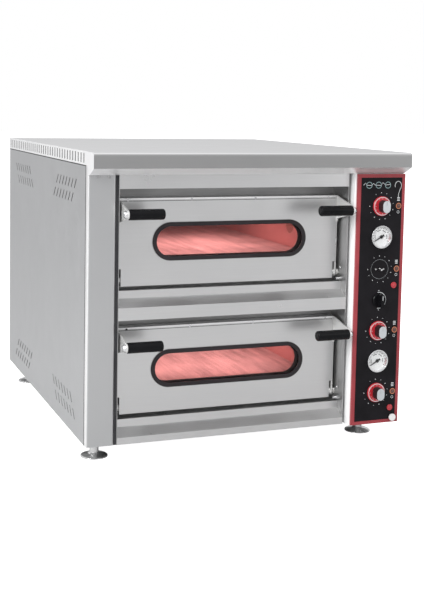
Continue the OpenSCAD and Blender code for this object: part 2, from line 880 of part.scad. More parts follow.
module door_skin(z) {
    hole_w = window_w - 2 * gasket_w + 10;
    hole_h = window_h - 2 * gasket_w + 10;
    color(steel) at_face() difference() {
        door_slab(z, 0, door_set, door_back - sheet_t);
        door_slab(z, sheet_t, door_set + sheet_t, door_back);
        stadium_y(hole_w, hole_h, z + door_h / 2, door_set - cut, door_set + sheet_t + cut);
    }
}

window_w = door_w - 2 * window_side;
pane_w = window_w + 40;
pane_h = window_h + 40;

module door_liner(z) {
    color("#a9abad") at_face() difference() {
        door_slab(z, 0, door_back - sheet_t, door_back);
        stadium_y(window_w - 2 * gasket_w, window_h - 2 * gasket_w, z + door_h / 2,
                  door_back - sheet_t - cut, door_back + cut);
    }
}

// Insulation in a door, with room for the two panes and an open shaft between them
module door_fill(z) {
    color("#d8cfa8") at_face() difference() {
        door_slab(z, sheet_t, door_set + sheet_t, door_back - sheet_t);
        stadium_y(window_w, window_h, z + door_h / 2, door_set, door_back);
        for (y = [door_set + sheet_t - cut, door_back - sheet_t - glass_t])
            block([bay_mid - pane_w / 2, y, z + (door_h - pane_h) / 2],
                  [bay_mid + pane_w / 2, y + glass_t + cut, z + (door_h + pane_h) / 2]);
    }
}

module window_gasket(z) {
    mid = z + door_h / 2;
    inner_w = window_w - 2 * gasket_w;
    inner_h = window_h - 2 * gasket_w;
    color(dark) at_face() difference() {
        union() {
            stadium_y(window_w, window_h, mid, door_set - 2.5, door_set);
            stadium_y(inner_w + 10, inner_h + 10, mid, door_set, door_set + sheet_t);
        }
        stadium_y(inner_w, inner_h, mid, door_set - 2.5 - cut, door_set + sheet_t + cut);
    }
}

module window_glass(z) {
    color([0.9, 0.5, 0.5, 0.4]) at_face()
        for (y = [door_set + sheet_t, door_back - sheet_t - glass_t])
            block([bay_mid - pane_w / 2, y, z + (door_h - pane_h) / 2],
                  [bay_mid + pane_w / 2, y + glass_t, z + (door_h + pane_h) / 2]);
}

bolt_r = 4;
bolt_hole_r = 4.2;
bolt_len = 60;

// Side view of a lever: a tapered plate along the door's end with a horn out to the grip
module lever_side(z) {
    top = z + door_h;
    pivot_z = z + pivot_up;
    grip_y = door_set - grip_reach;
    grip_z = top - grip_drop;
    horn_r = grip_dia / 2 - 2;
    translate([pivot_y, pivot_z]) circle(r = lever_end_r);
    translate([grip_y, grip_z]) circle(r = horn_r);
    polygon([[pivot_y - lever_end_r, pivot_z], [pivot_y + lever_end_r, pivot_z],
             [door_back, top - 60], [door_back, top], [door_set, top],
             [grip_y - 3, grip_z + horn_r - 0.4], [grip_y + 3, grip_z - horn_r + 0.4],
             [door_set - 6, grip_z - 30], [door_set + 2, grip_z - 44]]);
}

// The two levers of a door, each with its pivot stud and the boss behind the stud
module handle_levers(z) {
    grip_y = door_set - grip_reach;
    r = pivot_dia / 2;
    color(steel) at_face() for (side = [0, 1]) {
        x = side == 0 ? bay_mid - door_w / 2 - lever_t : bay_mid + door_w / 2;
        stud_x0 = side == 0 ? bay_x0 - 6 : x + lever_t;
        stud_x1 = side == 0 ? x : bay_x1 + 6;
        boss_x0 = side == 0 ? x + lever_t : x - notch_w + 0.5;
        difference() {
            bar_x(x, x + lever_t) lever_side(z);
            rod_x(grip_y, z + door_h - grip_drop, bolt_hole_r, x - cut, x + lever_t + cut);
        }
        rod_x(pivot_y, z + pivot_up, r, stud_x0, stud_x1);
        rod_x(pivot_y, z + pivot_up, r + 5, boss_x0, boss_x0 + notch_w - 0.5);
    }
}

// A grip with a rounded inner end, drilled for its bolt
module handle_grips(z) {
    r = grip_dia / 2;
    round_r = 5;
    color("#161618") at_face() for (side = [-1, 1])
        translate([bay_mid + side * door_w / 2, door_set - grip_reach, z + door_h - grip_drop])
            rotate([0, -side * 90, 0]) rotate_extrude(angle = 360) {
                translate([r - round_r, grip_len - round_r]) circle(r = round_r);
                polygon([[bolt_hole_r, 0], [r - 1, 0], [r, 1], [r, grip_len - round_r],
                         [r - round_r, grip_len - round_r], [r - round_r, grip_len],
                         [0, grip_len], [0, bolt_len + 2], [bolt_hole_r, bolt_len + 2]]);
            }
}

module handle_bolts(z) {
    color("silver") at_face() for (side = [-1, 1])
        translate([bay_mid + side * (door_w / 2 + lever_t), door_set - grip_reach, z + door_h - grip_drop])
            rotate([0, side * 90, 0]) rotate_extrude(angle = 360)
                polygon([[0, -bolt_len], [bolt_r, -bolt_len], [bolt_r, 0],
                         [10, 0], [10, 3], [8, 6.5], [5, 8], [0, 8]]);
}

module upper_door_skin() { door_skin(upper_door_z); }

module upper_door_liner() { door_liner(upper_door_z); }

module upper_door_fill() { door_fill(upper_door_z); }

module upper_window_gasket() { window_gasket(upper_door_z); }

module upper_window_glass() { window_glass(upper_door_z); }

module upper_handle_levers() { handle_levers(upper_door_z); }

module upper_handle_grips() { handle_grips(upper_door_z); }

module upper_handle_bolts() { handle_bolts(upper_door_z); }

module lower_door_skin() { door_skin(lower_door_z); }

module lower_door_liner() { door_liner(lower_door_z); }

module lower_door_fill() { door_fill(lower_door_z); }

module lower_window_gasket() { window_gasket(lower_door_z); }

module lower_window_glass() { window_glass(lower_door_z); }

module lower_handle_levers() { handle_levers(lower_door_z); }

module lower_handle_grips() { handle_grips(lower_door_z); }

module lower_handle_bolts() { handle_bolts(lower_door_z); }

base_pan();
left_side_panel();
right_side_panel();
rear_panel();
top_cover();
left_post();
control_column();
panel_tray();
panel_overlay();
lintel();
middle_sill();
bottom_sill();
gap_trims();
jamb_plates();
front_bulkhead();
upper_chamber();
lower_chamber();
baking_stones();
heating_elements();
insulation_slabs();
chamber_lamps();
thermostat_bodies();
switch_bodies();
terminal_block();
cable_gland();
hinge_bushes();
door_stops();
levelling_feet();
gauge_cases();
gauge_lenses();
pilot_lamps();
red_lamps();
casing_screws();
upper_door_skin();
upper_door_liner();
upper_door_fill();
upper_window_gasket();
upper_window_glass();
upper_handle_levers();
upper_handle_grips();
upper_handle_bolts();
lower_door_skin();
lower_door_liner();
lower_door_fill();
lower_window_gasket();
lower_window_glass();
lower_handle_levers();
lower_handle_grips();
lower_handle_bolts();
upper_top_dial();
upper_top_handle();
upper_base_spindle();
lower_top_dial();
lower_top_handle();
lower_base_dial();
lower_base_handle();
main_switch_knob();
upper_gauge_needle();
lower_gauge_needle();
light_button();
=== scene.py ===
"""Looks for the double-deck pizza oven: materials, printed and small pieces, light and camera."""
import math

import bpy
from mathutils import Matrix, Vector


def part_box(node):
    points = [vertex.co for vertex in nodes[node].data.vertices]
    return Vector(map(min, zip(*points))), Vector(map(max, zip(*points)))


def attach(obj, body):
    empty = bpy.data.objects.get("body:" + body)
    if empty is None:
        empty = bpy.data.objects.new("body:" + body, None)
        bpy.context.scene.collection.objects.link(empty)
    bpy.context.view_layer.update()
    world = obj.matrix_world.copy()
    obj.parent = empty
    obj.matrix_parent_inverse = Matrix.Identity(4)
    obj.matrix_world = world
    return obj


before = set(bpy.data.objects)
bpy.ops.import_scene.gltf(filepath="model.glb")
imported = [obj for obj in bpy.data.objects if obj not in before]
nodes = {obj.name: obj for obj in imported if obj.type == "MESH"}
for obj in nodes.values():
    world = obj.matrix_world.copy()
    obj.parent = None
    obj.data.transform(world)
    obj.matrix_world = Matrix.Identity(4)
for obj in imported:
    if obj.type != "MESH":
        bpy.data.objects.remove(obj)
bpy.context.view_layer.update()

MM = 0.001
DECKS = ("upper", "lower")
KNOBS = ("upper_top", "lower_top", "lower_base")


# ---------------------------------------------------------------- places read from the CAD

def middle(node, axis):
    low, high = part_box(node)
    return (low[axis] + high[axis]) / 2


def front_of(node):
    """The depth, y, of the node's foremost point."""
    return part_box(node)[0][1]


def gauge_centre(deck):
    """Both gauge cases are one node, with the upper gauge at the top of its box."""
    low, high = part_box("gauge_cases")
    return high[2] - GAUGE_R if deck == "upper" else low[2] + GAUGE_R


OVERLAY_Y = front_of("panel_overlay")
CONTROL_X = middle("lower_base_dial", 0)
SIDE_X = middle("pilot_lamps", 0)
DIAL_Z = {
    "upper_top": middle("upper_top_dial", 2),
    "lower_top": middle("lower_top_dial", 2),
    "lower_base": middle("lower_base_dial", 2),
    "upper_base": middle("upper_base_spindle", 2),
}
SWITCH_Z = middle("main_switch_knob", 2)
DIAL_R = (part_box("lower_base_dial")[1][2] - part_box("lower_base_dial")[0][2]) / 2
GAUGE_R = (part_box("gauge_cases")[1][0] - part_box("gauge_cases")[0][0]) / 2


# ---------------------------------------------------------------- material tools

EVEN = (1.0, 1.0, 1.0)                    # noise that isn't stretched
FACING_START, FACING_FULL = 0.6, 0.95     # cosines of 53 and 18 degrees off the direction


class Shader:
    """A principled material with short names for the nodes that its detail is made of."""

    def __init__(self, name, color, roughness, metallic=0.0):
        self.material = bpy.data.materials.new(name)
        self.material.use_nodes = True
        self.tree = self.material.node_tree
        self.bsdf = self.tree.nodes["Principled BSDF"]
        self.bsdf.inputs["Base Color"].default_value = (*color, 1.0)
        self.bsdf.inputs["Roughness"].default_value = roughness
        self.bsdf.inputs["Metallic"].default_value = metallic
        self.coords = self.tree.nodes.new("ShaderNodeTexCoord").outputs["Object"]

    def link(self, source, target):
        self.tree.links.new(source, target)

    def noise(self, scale, stretch=EVEN, detail=4.0, rough=0.55):
        mapping = self.tree.nodes.new("ShaderNodeMapping")
        mapping.inputs["Scale"].default_value = stretch
        self.link(self.coords, mapping.inputs["Vector"])
        texture = self.tree.nodes.new("ShaderNodeTexNoise")
        texture.inputs["Scale"].default_value = scale
        texture.inputs["Detail"].default_value = detail
        texture.inputs["Roughness"].default_value = rough
        self.link(mapping.outputs["Vector"], texture.inputs["Vector"])
        return texture.outputs["Fac"]

    def ramp(self, value, low, high, start=0.3, end=0.7):
        """Maps a value from start to end to a number from low to high."""
        node = self.tree.nodes.new("ShaderNodeMapRange")
        node.inputs["From Min"].default_value = start
        node.inputs["From Max"].default_value = end
        node.inputs["To Min"].default_value = low
        node.inputs["To Max"].default_value = high
        self.link(value, node.inputs["Value"])
        return node.outputs["Result"]

    def tint(self, value, low, high, start=0.3, end=0.7):
        """Blends two colours by a value from start to end."""
        node = self.tree.nodes.new("ShaderNodeMix")
        node.data_type = "RGBA"
        node.inputs["A"].default_value = (*low, 1.0)
        node.inputs["B"].default_value = (*high, 1.0)
        self.link(self.ramp(value, 0.0, 1.0, start, end), node.inputs["Factor"])
        return node.outputs["Result"]

    def blend(self, fine, share, broad, rest):
        """A fine pattern times its share, plus a broad pattern mapped to 0 up to the rest."""
        node = self.tree.nodes.new("ShaderNodeMath")
        node.operation = "MULTIPLY_ADD"
        node.inputs[1].default_value = share
        self.link(fine, node.inputs[0])
        self.link(self.ramp(broad, 0.0, rest, 0.0, 1.0), node.inputs[2])
        return node.outputs[0]

    def facing(self, tone, color, direction):
        """Paints light and shade by direction: puts a second colour on the faces that look in one
        direction, such as (0, 0, 1).
        """
        along = self.tree.nodes.new("ShaderNodeVectorMath")
        along.operation = "DOT_PRODUCT"
        self.link(self.tree.nodes.new("ShaderNodeTexCoord").outputs["Normal"], along.inputs[0])
        along.inputs[1].default_value = direction
        node = self.tree.nodes.new("ShaderNodeMix")
        node.data_type = "RGBA"
        node.inputs["B"].default_value = (*color, 1.0)
        self.link(tone, node.inputs["A"])
        share = self.ramp(along.outputs["Value"], 0.0, 1.0, FACING_START, FACING_FULL)
        self.link(share, node.inputs["Factor"])
        return node.outputs["Result"]

    def bump(self, value, strength, distance, rounding=0.0):
        """Roughens the surface by a pattern, and with rounding also softens its sharp edges."""
        node = self.tree.nodes.new("ShaderNodeBump")
        node.inputs["Strength"].default_value = strength
        node.inputs["Distance"].default_value = distance
        self.link(value, node.inputs["Height"])
        if rounding:
            bevel = self.tree.nodes.new("ShaderNodeBevel")
            bevel.samples = 4
            bevel.inputs["Radius"].default_value = rounding
            self.link(bevel.outputs["Normal"], node.inputs["Normal"])
        self.link(node.outputs["Normal"], self.bsdf.inputs["Normal"])

    def set(self, socket, value):
        self.bsdf.inputs[socket].default_value = value


def scaled(color, factor):
    return tuple(min(1.0, channel * factor) for channel in color)


def grey(tone):
    return (tone, tone, tone)


def brushed_steel(name, color, roughness, grain, metallic=1.0, contrast=0.10, facing=()):
    """Sheet steel. grain is the stretch per axis: small along the brushing, large across it.
    facing lists directions and the painted light and shade colours of the faces that look that
    way, where they differ."""
    s = Shader(name, color, roughness, metallic)
    lines = s.noise(6.0, grain, detail=6.0, rough=0.7)
    cloud = s.noise(3.0, detail=3.0)
    smudge = s.noise(14.0, detail=5.0)
    mixed = s.blend(lines, 0.55, cloud, 0.45)
    tone = s.tint(mixed, scaled(color, 1 - contrast), scaled(color, 1 + contrast))
    for direction, other in facing:
        tone = s.facing(tone, other, direction)
    s.link(tone, s.bsdf.inputs["Base Color"])
    s.link(s.ramp(smudge, roughness * 0.9, roughness * 1.12), s.bsdf.inputs["Roughness"])
    s.bump(lines, 0.06, distance=0.3 * MM, rounding=0.7 * MM)
    return s.material


def coated(name, color, roughness, contrast=0.12, bump=0.08, coat=0.0, shine=0.5):
    """Paint, plastic or rubber with fine texture, worn patches and uneven gloss."""
    s = Shader(name, color, roughness)
    s.set("Specular IOR Level", shine)
    fine = s.noise(900.0, detail=3.0)
    patch = s.noise(15.0, detail=5.0)
    s.link(s.tint(patch, scaled(color, 1 - contrast), scaled(color, 1 + contrast)),
           s.bsdf.inputs["Base Color"])
    s.link(s.ramp(patch, roughness * 0.75, min(1.0, roughness * 1.3)), s.bsdf.inputs["Roughness"])
    s.bump(fine, bump, distance=0.2 * MM, rounding=0.5 * MM)
    if coat:
        s.set("Coat Weight", coat)
        s.set("Coat Roughness", 0.08)
    return s.material


def lens(name, color, roughness, glow):
    """A coloured lamp lens with an uneven depth of colour."""
    s = Shader(name, color, roughness)
    depth = s.noise(260.0, detail=2.0)
    s.link(s.tint(depth, scaled(color, 0.75), scaled(color, 1.3)), s.bsdf.inputs["Base Color"])
    s.link(s.ramp(depth, roughness * 0.7, roughness * 1.5), s.bsdf.inputs["Roughness"])
    s.set("Emission Color", (*color, 1.0))
    s.set("Emission Strength", glow)
    s.set("Coat Weight", 0.6)
    s.bump(depth, 0.1, distance=0.3 * MM, rounding=0.4 * MM)
    return s.material


def fired_stone(name, color):
    """Baking stone with scorched patches and the pale streaks that a peel leaves."""
    s = Shader(name, color, 0.85)
    grit = s.noise(700.0)
    burn = s.noise(7.0, detail=6.0)
    streak = s.noise(5.0, (9.0, 0.7, 1.0), detail=5.0, rough=0.65)
    mixed = s.blend(streak, 0.6, burn, 0.4)
    s.link(s.tint(mixed, scaled(color, 0.6), scaled(color, 1.3), start=0.38, end=0.62),
           s.bsdf.inputs["Base Color"])
    s.link(s.ramp(grit, 0.75, 0.95), s.bsdf.inputs["Roughness"])
    s.bump(grit, 0.35, distance=0.6 * MM, rounding=0.8 * MM)
    return s.material


def mineral_wool(name, color):
    """Dark insulation with fibres that lie across the oven."""
    s = Shader(name, color, 0.95)
    fibre = s.noise(160.0, (0.3, 1.6, 1.6), detail=6.0)
    s.link(s.tint(fibre, scaled(color, 0.7), scaled(color, 1.1)), s.bsdf.inputs["Base Color"])
    s.link(s.ramp(fibre, 0.85, 1.0), s.bsdf.inputs["Roughness"])
    s.bump(fibre, 0.6, distance=2 * MM)
    return s.material


def glass(name, color, roughness, alpha=1.0):
    """Clear or tinted glass with a little uneven haze."""
    s = Shader(name, color, roughness)
    haze = s.noise(7.0)
    s.link(s.tint(haze, scaled(color, 0.94), scaled(color, 1.06)), s.bsdf.inputs["Base Color"])
    s.link(s.ramp(haze, roughness, roughness * 2.0), s.bsdf.inputs["Roughness"])
    s.set("Transmission Weight", 1.0)
    s.set("IOR", 1.3)
    s.set("Alpha", alpha)
    s.bump(haze, 0.02, distance=0.5 * MM)
    return s.material


def printed(name, color, roughness=0.45):
    """Screen-printed ink, slightly uneven."""
    s = Shader(name, color, roughness)
    ink = s.noise(900.0, detail=3.0)
    s.link(s.tint(ink, scaled(color, 0.85), scaled(color, 1.08)), s.bsdf.inputs["Base Color"])
    s.link(s.ramp(ink, roughness * 0.8, roughness * 1.2), s.bsdf.inputs["Roughness"])
    return s.material


# ---------------------------------------------------------------- materials on the CAD nodes

ALONG_X = (1.0, 60.0, 60.0)               # the way the steel is brushed
ALONG_Z = (60.0, 60.0, 1.0)
FORWARD = (0.0, -1.0, 0.0)
BACKWARD = (0.0, 1.0, 0.0)
UPWARD = (0.0, 0.0, 1.0)
PAINTED_SLOT_SHADE = grey(0.03)                       # painted shade: nearly black for the faces that look forward, back and up, mostly the walls inside the louvre slots

# name, colour, roughness, grain, how metallic, contrast
# painted light and shade: the cover's side faces are near white, standing in for the bright
# reflection of the light on the left, its front faces are darkened to 0.31 and its top to 0.60
cover_steel = brushed_steel("cover_steel", grey(0.97), 0.36, ALONG_X, 0.6, 0.05,
                            facing=[(FORWARD, grey(0.31)), (UPWARD, grey(0.60))])
# painted shade: the side panel's faces that look forward, back and up, the walls inside its slots,
# are nearly black
side_steel = brushed_steel("side_steel", (0.63, 0.635, 0.64), 0.42, ALONG_Z, contrast=0.03,
                           facing=[(FORWARD, PAINTED_SLOT_SHADE), (BACKWARD, PAINTED_SLOT_SHADE), (UPWARD, PAINTED_SLOT_SHADE)])
# painted highlight: the post's rounded corner and side are near white, and only its front faces
# get the darker 0.52 steel
post_steel = brushed_steel("post_steel", grey(0.97), 0.34, ALONG_Z, 0.8, 0.04,
                           facing=[(FORWARD, (0.52, 0.525, 0.53))])
column_steel = brushed_steel("column_steel", grey(0.93), 0.5, ALONG_Z, 0.0, 0.01)
sill_steel = brushed_steel("sill_steel", grey(0.70), 0.30, ALONG_X, contrast=0.05)
jamb_steel = brushed_steel("jamb_steel", grey(0.50), 0.38, ALONG_Z, contrast=0.12)
door_steel = brushed_steel("door_steel", grey(0.69), 0.32, ALONG_X, contrast=0.03)
lever_steel = brushed_steel("lever_steel", (0.8, 0.8, 0.79), 0.25, ALONG_Z, 0.5, contrast=0.06)
back_steel = brushed_steel("back_steel", (0.5, 0.505, 0.51), 0.45, ALONG_Z, contrast=0.1)
# painted light: the chamber walls' red tint stands in for the warm light seen through the tinted
# window; the steel itself is grey
chamber_steel = brushed_steel("chamber_steel", (0.74, 0.42, 0.40), 0.5, ALONG_X, 0.3, 0.2)
bulkhead_steel = brushed_steel("bulkhead_steel", grey(0.40), 0.5, ALONG_X, 0.9, 0.15)
# painted highlight: near-white steel for the band along the doors' top edge
painted_hem_highlight = brushed_steel("painted_hem_highlight", grey(0.95), 0.4, ALONG_X, 0.2, 0.03)
foot_steel = brushed_steel("foot_steel", grey(0.78), 0.14, ALONG_X, 0.95, 0.1)
element_steel = brushed_steel("element_steel", (0.25, 0.21, 0.2), 0.55, ALONG_X, 0.7, 0.25)
screw_steel = brushed_steel("screw_steel", grey(0.5), 0.4, EVEN, contrast=0.1)
chrome = brushed_steel("chrome", (0.82, 0.82, 0.83), 0.1, EVEN, contrast=0.05)
bush_steel = brushed_steel("bush_steel", (0.8, 0.79, 0.77), 0.2, ALONG_X, 0.7, 0.1)

# name, colour, roughness, contrast, bump
overlay_black = coated("overlay_black", (0.010, 0.009, 0.011), 0.4, 0.3, 0.05, shine=0.12)
tray_red = coated("tray_red", (0.34, 0.05, 0.06), 0.4, 0.15, 0.06, shine=0.3)
trim_black = coated("trim_black", (0.03, 0.03, 0.033), 0.5, 0.25, 0.12, shine=0.3)
grip_black = coated("grip_black", (0.005, 0.005, 0.006), 0.2, 0.3, 0.06, coat=0.12, shine=0.08)
gasket_black = coated("gasket_black", (0.022, 0.018, 0.02), 0.55, 0.25, 0.2, shine=0.25)
dial_red = coated("dial_red", (0.52, 0.022, 0.035), 0.3, 0.1, 0.05, coat=0.4)
pointer_dark = coated("pointer_dark", (0.02, 0.012, 0.014), 0.4, 0.2, 0.05, shine=0.25)
pointer_cap = coated("pointer_cap", (0.52, 0.54, 0.56), 0.4, 0.06, 0.05)
switch_plastic = coated("switch_plastic", (0.55, 0.54, 0.5), 0.5, 0.1, 0.1)
terminal_plastic = coated("terminal_plastic", (0.05, 0.05, 0.055), 0.5, 0.2, 0.15)
button_white = coated("button_white", (0.85, 0.83, 0.82), 0.3, 0.05, 0.05, coat=0.4)
needle_black = coated("needle_black", (0.015, 0.015, 0.016), 0.45, 0.2, 0.05)

# name, colour, and roughness where the material doesn't fix it
amber_lens = lens("amber_lens", (0.09, 0.03, 0.02), 0.2, glow=0.02)
red_lens = lens("red_lens", (0.42, 0.02, 0.03), 0.2, glow=0.08)
lamp_glass = lens("lamp_glass", (0.62, 0.42, 0.38), 0.3, glow=0.12)
stone = fired_stone("fire_stone", (0.66, 0.60, 0.58))
wool = mineral_wool("mineral_wool", (0.07, 0.062, 0.05))
window_glass = glass("window_glass", (0.86, 0.57, 0.56), 0.03)
clear_glass = glass("clear_glass", (0.97, 0.98, 0.98), 0.02, alpha=0.25)

FINISH = {
    "top_cover": cover_steel,
    "left_side_panel": side_steel,
    "right_side_panel": side_steel,
    "left_post": post_steel,
    "control_column": column_steel,
    "lintel": sill_steel,
    "middle_sill": sill_steel,
    "bottom_sill": sill_steel,
    "jamb_plates": jamb_steel,
    "front_bulkhead": bulkhead_steel,
    "base_pan": back_steel,
    "rear_panel": back_steel,
    "gap_trims": trim_black,
    "panel_tray": tray_red,
    "panel_overlay": overlay_black,
    "upper_chamber": chamber_steel,
    "lower_chamber": chamber_steel,
    "baking_stones": stone,
    "heating_elements": element_steel,
    "insulation_slabs": wool,
    "chamber_lamps": lamp_glass,
    "thermostat_bodies": switch_plastic,
    "switch_bodies": terminal_plastic,
    "terminal_block": terminal_plastic,
    "cable_gland": terminal_plastic,
    "hinge_bushes": bush_steel,
    "door_stops": chrome,
    "levelling_feet": foot_steel,
    "gauge_cases": chrome,
    "gauge_lenses": clear_glass,
    "pilot_lamps": amber_lens,
    "red_lamps": red_lens,
    "casing_screws": screw_steel,
    "upper_base_spindle": chrome,
    "main_switch_knob": grip_black,
    "light_button": button_white,
}
for deck in DECKS:
    FINISH[f"{deck}_door_skin"] = door_steel
    FINISH[f"{deck}_door_liner"] = back_steel
    FINISH[f"{deck}_door_fill"] = wool
    FINISH[f"{deck}_window_gasket"] = gasket_black
    FINISH[f"{deck}_window_glass"] = window_glass
    FINISH[f"{deck}_handle_levers"] = lever_steel
    FINISH[f"{deck}_handle_grips"] = grip_black
    FINISH[f"{deck}_handle_bolts"] = chrome
    FINISH[f"{deck}_gauge_needle"] = needle_black
for knob in KNOBS:
    FINISH[f"{knob}_dial"] = dial_red
    FINISH[f"{knob}_handle"] = pointer_dark

for name, thing in nodes.items():
    thing.data.materials.clear()
    thing.data.materials.append(FINISH[name])


# ---------------------------------------------------------------- printed and thin pieces

def add_object(name, data):
    thing = bpy.data.objects.new(name, data)
    bpy.context.scene.collection.objects.link(thing)
    return thing


def add_mesh(name, points, faces, material):
    mesh = bpy.data.meshes.new(name)
    mesh.from_pydata(points, [], faces)
    mesh.materials.append(material)
    return add_object(name, mesh)


class Flat:
    """A piece made of flat shapes that face the front, all at one depth, y."""

    def __init__(self, name, y):
        self.name = name
        self.y = y
        self.points = []
        self.faces = []

    def loop(self, outline):
        start = len(self.points)
        self.points.extend((x, self.y, z) for x, z in outline)
        self.faces.append(list(range(start, start + len(outline))))

    def disc(self, x, z, r, steps=20):
        self.loop([(x + r * math.cos(a), z + r * math.sin(a)) for a in turn(0, 360, steps)[:-1]])

    def arc(self, x, z, r, width, start=0.0, end=360.0, steps=48):
        """A ring or a part of one. Angles are in degrees, anticlockwise from +X."""
        line = [(x + r * math.cos(a), z + r * math.sin(a)) for a in turn(start, end, steps)]
        self.stroke(line, width)

    def stroke(self, line, width):
        """A band of the given width along a line of points."""
        line = [Vector(p) for p in line]
        start = len(self.points)
        for i, point in enumerate(line):
            before = line[max(i - 1, 0)]
            after = line[min(i + 1, len(line) - 1)]
            along = (after - before).normalized()
            side = Vector((-along.y, along.x)) * width / 2
            for corner in (point - side, point + side):
                self.points.append((corner.x, self.y, corner.y))
        for i in range(len(line) - 1):
            j = start + 2 * i
            self.faces.append([j, j + 1, j + 3, j + 2])

    def ticks(self, x, z, r, start, end, count, length, width):
        """Short radial marks from start to end, in degrees anticlockwise from +X."""
        outer = r + length
        for a in turn(start, end, count - 1):
            c, s = math.cos(a), math.sin(a)
            self.stroke([(x + r * c, z + r * s), (x + outer * c, z + outer * s)], width)

    def build(self, material, body):
        thing = add_mesh(self.name, self.points, self.faces, material)
        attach(thing, body)


def turn(start, end, steps):
    """Angles in radians, evenly spaced over a turn given in degrees."""
    return [math.radians(start + (end - start) * i / steps) for i in range(steps + 1)]


white_ink = printed("white_ink", (0.72, 0.74, 0.75))
grey_ink = printed("grey_ink", (0.30, 0.32, 0.33))
teal_ink = printed("teal_ink", (0.24, 0.36, 0.36))
dark_ink_and_shade = printed("dark_ink_and_shade", (0.03, 0.03, 0.035))
red_ink = printed("red_ink", (0.5, 0.04, 0.05))
orange_ink = printed("orange_ink", (0.62, 0.22, 0.1))
dial_paper = printed("dial_paper", (0.93, 0.94, 0.94), 0.5)

PRINT_GAP = 0.08 * MM                     # how far a print stands off what it is on
SCALE_START, SCALE_END = 120, -180        # a knob's scale, clockwise from left of the top
GAUGE_START, GAUGE_END = 210, -30         # a gauge's scale
LAMP_RIM = 2 * MM                         # how far the lamps' rims stand off the overlay
GAUGE_FLOOR = 1.5 * MM                    # and the floor of the gauge cases


def panel_print():
    """The dotted scales, the signs by the lamps, and the line drawing at the top of the panel."""
    y = OVERLAY_Y - PRINT_GAP
    dot_r, small_dot_r = 1.3 * MM, 0.9 * MM
    scale_r = DIAL_R + 10 * MM
    white = Flat("panel_scales", y)
    for z in DIAL_Z.values():
        for i, a in enumerate(turn(SCALE_START, SCALE_END, 11)):
            r = dot_r if i % 2 else small_dot_r
            white.disc(CONTROL_X + scale_r * math.cos(a), z + scale_r * math.sin(a), r, steps=8)
    for z in (SWITCH_Z - 27 * MM, SWITCH_Z + 27 * MM):
        white.disc(CONTROL_X, z, dot_r, steps=8)
    for z in DIAL_Z.values():
        for rise in (15 * MM, 19 * MM, 23 * MM):
            bar = [(SIDE_X - 4 * MM, z + rise), (SIDE_X + 4 * MM, z + rise)]
            white.stroke(bar, width=2 * MM)
        white.arc(SIDE_X, z - 17 * MM, r=3.5 * MM, width=1 * MM, steps=16)
    white.build(white_ink, "casing")

    ring = Flat("bare_scale_ring", y)
    ring.arc(CONTROL_X, DIAL_Z["upper_base"], DIAL_R, width=0.6 * MM)
    ring.build(grey_ink, "casing")

    drawing_z = DIAL_Z["upper_top"] + 58 * MM
    teal = Flat("panel_rings", y)
    for x in (-40, -11, 18):
        teal.arc(CONTROL_X + x * MM, drawing_z, r=8.5 * MM, width=1.6 * MM, steps=24)
    teal.build(teal_ink, "casing")

    line = Flat("panel_line", y)
    zigzag = [(-58, 0), (-52, 6), (-47, 0), (-33, -1), (-27, 5),
              (-21, 0), (-4, -1), (2, 7), (10, 0), (25, 2)]
    line.stroke([(CONTROL_X + x * MM, drawing_z + z * MM) for x, z in zigzag], width=1.2 * MM)
    hook_x, hook_z = SIDE_X - 2 * MM, drawing_z - 2 * MM
    hook = [(hook_x + 10 * MM * math.cos(a), hook_z + 12 * MM * math.sin(a))
            for a in turn(200, -50, 24)]
    hook += [(hook_x + 2 * MM, hook_z - 22 * MM), (hook_x + 1 * MM, hook_z - 32 * MM)]
    line.stroke(hook, width=1.4 * MM)
    line.build(white_ink, "casing")

    orange = Flat("pilot_rings", y - LAMP_RIM)
    for z in DIAL_Z.values():
        orange.arc(SIDE_X, z, r=7.4 * MM, width=1.6 * MM, steps=28)
    orange.build(orange_ink, "casing")


def gauge_faces():
    paper_y = OVERLAY_Y - GAUGE_FLOOR - PRINT_GAP
    paper = Flat("gauge_paper", paper_y)
    marks = Flat("gauge_marks", paper_y - PRINT_GAP)
    hot = Flat("gauge_hot_zone", paper_y - PRINT_GAP)
    r = GAUGE_R - 3.2 * MM
    hub_r = 2 * MM                        # the hole in the paper round the needle's pin
    for deck in DECKS:
        z = gauge_centre(deck)
        paper.arc(CONTROL_X, z, (r + hub_r) / 2, width=r - hub_r)
        marks.ticks(CONTROL_X, z, r - 6 * MM, GAUGE_START, GAUGE_END, 13,
                    length=4.5 * MM, width=1.3 * MM)
        marks.ticks(CONTROL_X, z, r - 3 * MM, GAUGE_START, GAUGE_END, 49,
                    length=2 * MM, width=0.5 * MM)
        for start in (200, 130, 75, 20):
            marks.arc(CONTROL_X, z, r - 10 * MM, 1.8 * MM, start, start - 38, steps=10)
        hot.arc(CONTROL_X, z, r - 1.2 * MM, 1 * MM, 10, GAUGE_END, steps=12)
    paper.build(dial_paper, "casing")
    marks.build(dark_ink_and_shade, "casing")
    hot.build(red_ink, "casing")


